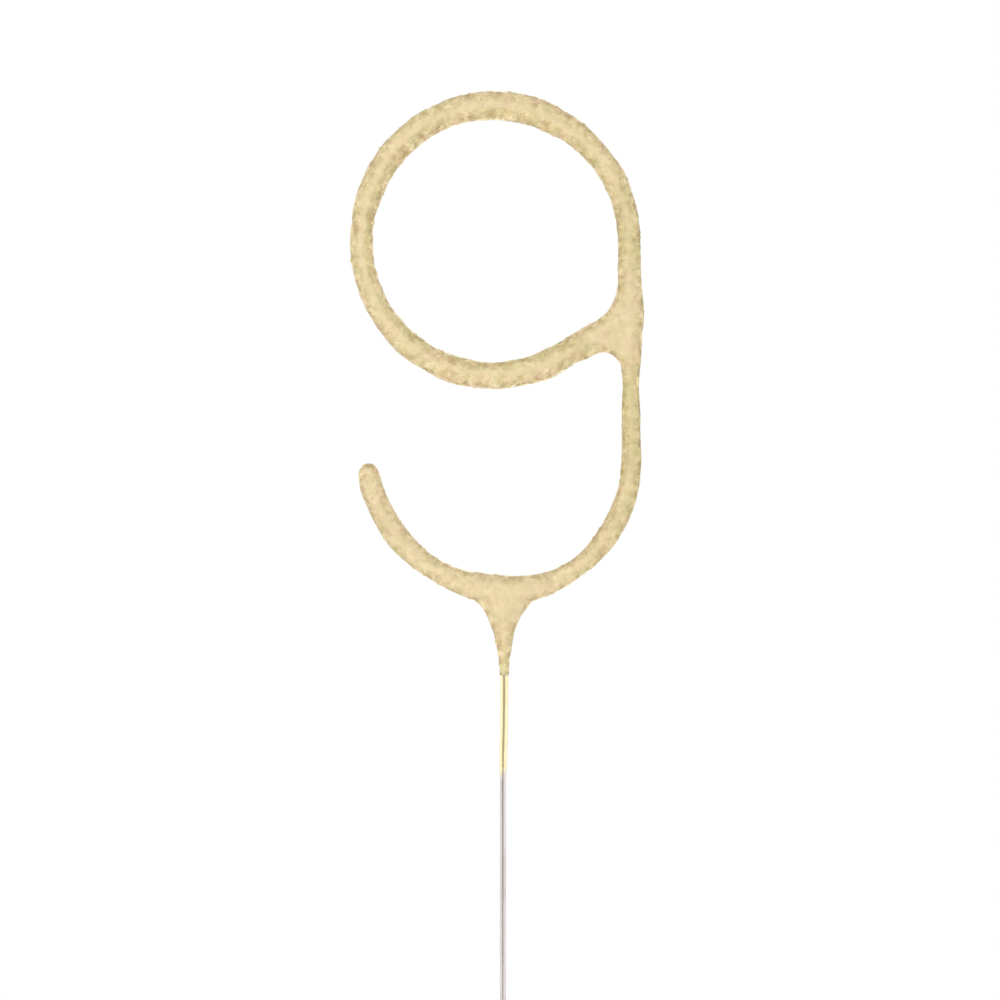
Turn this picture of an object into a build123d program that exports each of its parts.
from build123d import *
from math import atan, cos, degrees, radians, sin, tan
import os

# Cake sparkler shaped as a figure nine on a wire stem, in millimetres.
# The origin is the stem's lower tip, +Z runs up the stem, and the figure lies in the XZ plane.

# Wire
WIRE_DIAMETER = 1.05
TIP_CHAMFER = 0.15
WELD_GAP = 0.15
WELD_DIAMETER = 2.1

# Stem, from the tip upward
BARE_LENGTH = 56.4
STEM_SET = 0.22
SET_LENGTH = 15.7
LACQUER_TOP = 2.6
LACQUER_FILM = 0.12

# Bends of the figure's wire, out from the stem joint: degrees turned, and radius
FOOT_TILT = 2.5
BOWL_LEFT_RADIUS = 26.0
BOWL_LEFT_ANGLE = 30.0
TAIL_RADIUS = 24.6
TAIL_ANGLE = 47.0
BOWL_RIGHT_RADIUS = 19.9
BOWL_RIGHT_ANGLE = 38.0
BOWL_RISE_RADIUS = 24.0
UPRIGHT_LEAN = 0.6
UPRIGHT_LENGTH = 38.15
LOOP_RISE_RADIUS = 24.2
LOOP_RISE_ANGLE = 78.7
LOOP_CROWN_RADIUS = 23.0
LOOP_CROWN_ANGLE = 65.3
LOOP_LEFT_RADIUS = 24.6
LOOP_LEFT_ANGLE = 54.3
LOOP_LOW_RADIUS = 23.3
LOOP_LOW_ANGLE = 102.4

# Outside diameter of the coated figure, from the tail's tip to the loop's end
COAT_TIP = 3.65
COAT_TAIL = 4.15
COAT_BOWL_LEFT = 3.85
COAT_FOOT = 5.2
COAT_BOWL_RIGHT = 3.4
COAT_BOWL_RISE = 3.8
COAT_UPRIGHT = 3.45
COAT_UPRIGHT_MIDDLE = 3.3
COAT_WAIST = 2.95
COAT_UNDER_JUNCTION = 3.85
COAT_JUNCTION = 4.9
COAT_OVER_JUNCTION = 4.15
COAT_SHOULDER = 3.95
COAT_LOOP_RISE = 4.25
COAT_LOOP_CREST = 5.15
COAT_LOOP_TOP = 4.7
COAT_LOOP_LEFT = 4.65
COAT_LOOP_FALL = 3.95
COAT_LOOP_LOW = 4.45
COAT_LOOP_BOTTOM = 4.8
COAT_LOOP_END = 4.75
TUCK = 0.4

# Neck between the stem and the bowl: widths from the bottom up, then depths, then rises from ring to ring
NECK_TIP = 1.8
NECK_SLIM = 2.2
NECK_MIDDLE = 4.3
NECK_TOP = 7.3
NECK_FLARE = 15.0
NECK_MIDDLE_DEPTH = 3.4
NECK_TOP_DEPTH = 4.4
NECK_FLARE_DEPTH = 5.1
NECK_SLIM_RISE = 3.9
NECK_MIDDLE_RISE = 4.6
NECK_TOP_RISE = 3.0
NECK_FLARE_RISE = 3.6
NECK_SHIFT = 0.03

# Webs of coating in the two corners where the loop's end meets the upright
WEB_THICKNESS = 3.6
UPPER_WEB_RADIUS = 8.2
LOWER_WEB_RADIUS = 3.7
WEB_EDGE = 1.4

# Gold finish over the coating
SKIN_FILM = 0.12

os.makedirs("parts", exist_ok=True)

wire_radius = WIRE_DIAMETER / 2
coat_end = BARE_LENGTH + SET_LENGTH + LACQUER_TOP
neck_slim = coat_end + NECK_SLIM_RISE
neck_middle = neck_slim + NECK_MIDDLE_RISE
neck_top = neck_middle + NECK_TOP_RISE
joint_height = neck_top + NECK_FLARE_RISE
joint = (STEM_SET, joint_height)

# The stem has a slight sideways set, made of two equal and opposite bends under the lacquer
set_turn = 2 * atan(STEM_SET / SET_LENGTH)
set_radius = SET_LENGTH / (2 * sin(set_turn))
stem_top = joint_height - wire_radius - WELD_GAP

with BuildLine(Plane.XZ) as stem_line:
    bare_run = Line((0, 0), (0, BARE_LENGTH))
    set_out = JernArc(bare_run @ 1, bare_run % 1, set_radius, -degrees(set_turn))
    set_back = JernArc(set_out @ 1, set_out % 1, set_radius, degrees(set_turn))
    Line(set_back @ 1, (STEM_SET, stem_top))

with BuildLine(Plane.XZ) as lacquer_line:
    add(set_out)
    add(set_back)
    Line(set_back @ 1, (STEM_SET, coat_end))

# The figure's wire: both ways from the joint, then the loop's end run up to the upright
tilt = radians(FOOT_TILT)
rise_turn = 90 + UPRIGHT_LEAN + FOOT_TILT - BOWL_RIGHT_ANGLE
with BuildLine(Plane.XZ) as figure_line:
    bowl_left = JernArc(joint, (-cos(tilt), sin(tilt)), BOWL_LEFT_RADIUS, -BOWL_LEFT_ANGLE)
    tail = JernArc(bowl_left @ 1, bowl_left % 1, TAIL_RADIUS, -TAIL_ANGLE)
    bowl_right = JernArc(joint, (cos(tilt), -sin(tilt)), BOWL_RIGHT_RADIUS, BOWL_RIGHT_ANGLE)
    bowl_rise = JernArc(bowl_right @ 1, bowl_right % 1, BOWL_RISE_RADIUS, rise_turn)
    upright = PolarLine(bowl_rise @ 1, UPRIGHT_LENGTH, direction=bowl_rise % 1)
    loop_rise = JernArc(upright @ 1, upright % 1, LOOP_RISE_RADIUS, LOOP_RISE_ANGLE)
    loop_crown = JernArc(loop_rise @ 1, loop_rise % 1, LOOP_CROWN_RADIUS, LOOP_CROWN_ANGLE)
    loop_left = JernArc(loop_crown @ 1, loop_crown % 1, LOOP_LEFT_RADIUS, LOOP_LEFT_ANGLE)
    loop_low = JernArc(loop_left @ 1, loop_left % 1, LOOP_LOW_RADIUS, LOOP_LOW_ANGLE)
    # where the loop's end line crosses the upright's axis, and how far short of it the wire stops
    loop_end = loop_low @ 1
    end_way = loop_low % 1
    up_way = upright % 0
    crossing = end_way.cross(up_way).Y
    strand_reach = (upright @ 0 - loop_end).cross(up_way).Y / crossing
    stop_short = (wire_radius + WELD_GAP + wire_radius * end_way.dot(up_way)) / abs(crossing)
    strand = PolarLine(loop_end, strand_reach - stop_short, direction=end_way)

junction = loop_end + end_way * strand_reach
strand_end = COAT_JUNCTION - TUCK

# Coated runs: path, whether it is walked backward, and diameters at even steps along it
coat_runs = (
    (tail, True, (COAT_TIP, COAT_TAIL, COAT_BOWL_LEFT)),
    (bowl_left, True, (COAT_BOWL_LEFT, COAT_FOOT)),
    (bowl_right, False, (COAT_FOOT, COAT_BOWL_RIGHT)),
    (bowl_rise, False, (COAT_BOWL_RIGHT, COAT_BOWL_RISE, COAT_UPRIGHT)),
    (
        upright,
        False,
        (
            COAT_UPRIGHT,
            COAT_UPRIGHT_MIDDLE,
            COAT_WAIST,
            COAT_UNDER_JUNCTION,
            COAT_JUNCTION,
            COAT_OVER_JUNCTION,
            COAT_SHOULDER,
        ),
    ),
    (loop_rise, False, (COAT_SHOULDER, COAT_LOOP_RISE, COAT_LOOP_CREST)),
    (loop_crown, False, (COAT_LOOP_CREST, COAT_LOOP_TOP, COAT_LOOP_LEFT)),
    (loop_left, False, (COAT_LOOP_LEFT, COAT_LOOP_FALL, COAT_LOOP_FALL)),
    (loop_low, False, (COAT_LOOP_FALL, COAT_LOOP_LOW, COAT_LOOP_BOTTOM, COAT_LOOP_END)),
)


def coat_rings(inset):
    """Cross planes along the coated wire and the radius at each, eased between the named sizes."""
    rings = []
    for run, backward, sizes in coat_runs:
        gaps = len(sizes) - 1
        for step in range(3 * gaps + 1):
            if step == 0 and rings:
                continue
            before = min(step // 3, gaps - 1)
            ease = step / 3 - before
            ease = ease * ease * (3 - 2 * ease)
            size = sizes[before] + (sizes[before + 1] - sizes[before]) * ease
            share = step / (3 * gaps)
            at = 1 - share if backward else share
            way = run % at * (-1 if backward else 1)
            rings.append((Plane(origin=run @ at, x_dir=(0, 1, 0), z_dir=way), size / 2 - inset))
    return rings


def corner_web(side_way, run_half, side_half, radius, inset):
    """Plate with a round inner edge in one corner between the loop's end and the upright."""
    back_way = end_way * -1
    angle = radians(back_way.get_angle(side_way))
    corner = junction + (back_way * (side_half - inset) + side_way * (run_half - inset)) / sin(angle)
    bend = radius + inset
    reach = bend / tan(angle / 2)
    middle = (back_way + side_way).normalized() * (bend / sin(angle / 2) - bend)
    start, halfway, end, root = (
        (point.X, point.Z)
        for point in (corner + back_way * reach, corner + middle, corner + side_way * reach, junction)
    )
    with BuildPart() as web:
        with BuildSketch(Plane.XZ):
            with BuildLine():
                ThreePointArc(start, halfway, end)
                Polyline(end, root, start)
            make_face()
        extrude(amount=WEB_THICKNESS / 2 - inset, both=True)
        fillet(web.edges().filter_by(GeomType.CIRCLE), WEB_EDGE)
    return web.part


def coat_body(inset):
    """The whole coated figure, drawn in by inset from its outside."""
    upper_web = corner_web(up_way, strand_end / 2, COAT_OVER_JUNCTION / 2, UPPER_WEB_RADIUS, inset)
    lower_web = corner_web(up_way * -1, strand_end / 2, COAT_WAIST / 2, LOWER_WEB_RADIUS, inset)
    neck_rings = (
        (coat_end + inset, NECK_TIP, NECK_TIP),
        (neck_slim, NECK_SLIM, NECK_SLIM),
        (neck_middle, NECK_MIDDLE, NECK_MIDDLE_DEPTH),
        (neck_top, NECK_TOP, NECK_TOP_DEPTH),
        (joint_height, NECK_FLARE, NECK_FLARE_DEPTH),
    )
    with BuildPart() as body:
        for plane, radius in coat_rings(inset):
            with BuildSketch(plane):
                Circle(radius)
        loft()
        # the loop's end run, tucked into the upright's coating
        for share, size in ((0, COAT_LOOP_END), (1, strand_end)):
            with BuildSketch(Plane(loop_end + end_way * strand_reach * share, (0, 1, 0), end_way)):
                Circle(size / 2 - inset)
        loft()
        for height, wide, deep in neck_rings:
            with BuildSketch(Plane((STEM_SET + NECK_SHIFT, 0, height))):
                Ellipse(wide / 2 - inset, deep / 2 - inset)
        loft()
        with Locations(tail @ 1):
            Sphere(COAT_TIP / 2 - inset)
        add(upper_web)
        add(lower_web)
    return body.part


coated = coat_body(0)
compound = coat_body(SKIN_FILM)

with BuildPart() as stem_wire:
    with BuildSketch(Plane.XY):
        Circle(wire_radius)
    sweep(path=stem_line.wire())
    chamfer(stem_wire.edges().group_by(Axis.Z)[0], TIP_CHAMFER)

with BuildPart() as figure_wire:
    with BuildSketch(Plane(origin=tail @ 1, x_dir=(0, 1, 0), z_dir=tail % 1 * -1)):
        Circle(wire_radius)
    sweep(path=figure_line.wire())

with BuildPart() as stem_weld:
    with Locations((STEM_SET, 0, stem_top + WELD_GAP / 2)):
        Sphere(WELD_DIAMETER / 2)
    add(stem_wire.part, mode=Mode.SUBTRACT)
    add(figure_wire.part, mode=Mode.SUBTRACT)

with BuildPart() as loop_weld:
    with Locations(strand @ 1 + end_way * WELD_GAP / 2):
        Sphere(WELD_DIAMETER / 2)
    add(figure_wire.part, mode=Mode.SUBTRACT)

with BuildPart() as spark_coating:
    add(compound)
    for inner in (stem_wire, figure_wire, stem_weld, loop_weld):
        add(inner.part, mode=Mode.SUBTRACT)

with BuildPart() as gold_skin:
    add(coated)
    add(compound, mode=Mode.SUBTRACT)
    add(stem_wire.part, mode=Mode.SUBTRACT)

with BuildPart() as stem_lacquer:
    with BuildSketch(Plane.XY.offset(BARE_LENGTH)):
        Circle(wire_radius + LACQUER_FILM)
        Circle(wire_radius, mode=Mode.SUBTRACT)
    sweep(path=lacquer_line.wire())

stem_wire.part.label = "stem_wire"
export_step(stem_wire.part, "parts/stem_wire.step")
figure_wire.part.label = "figure_wire"
export_step(figure_wire.part, "parts/figure_wire.step")
stem_weld.part.label = "stem_weld"
export_step(stem_weld.part, "parts/stem_weld.step")
loop_weld.part.label = "loop_weld"
export_step(loop_weld.part, "parts/loop_weld.step")
spark_coating.part.label = "spark_coating"
export_step(spark_coating.part, "parts/spark_coating.step")
gold_skin.part.label = "gold_skin"
export_step(gold_skin.part, "parts/gold_skin.step")
stem_lacquer.part.label = "stem_lacquer"
export_step(stem_lacquer.part, "parts/stem_lacquer.step")
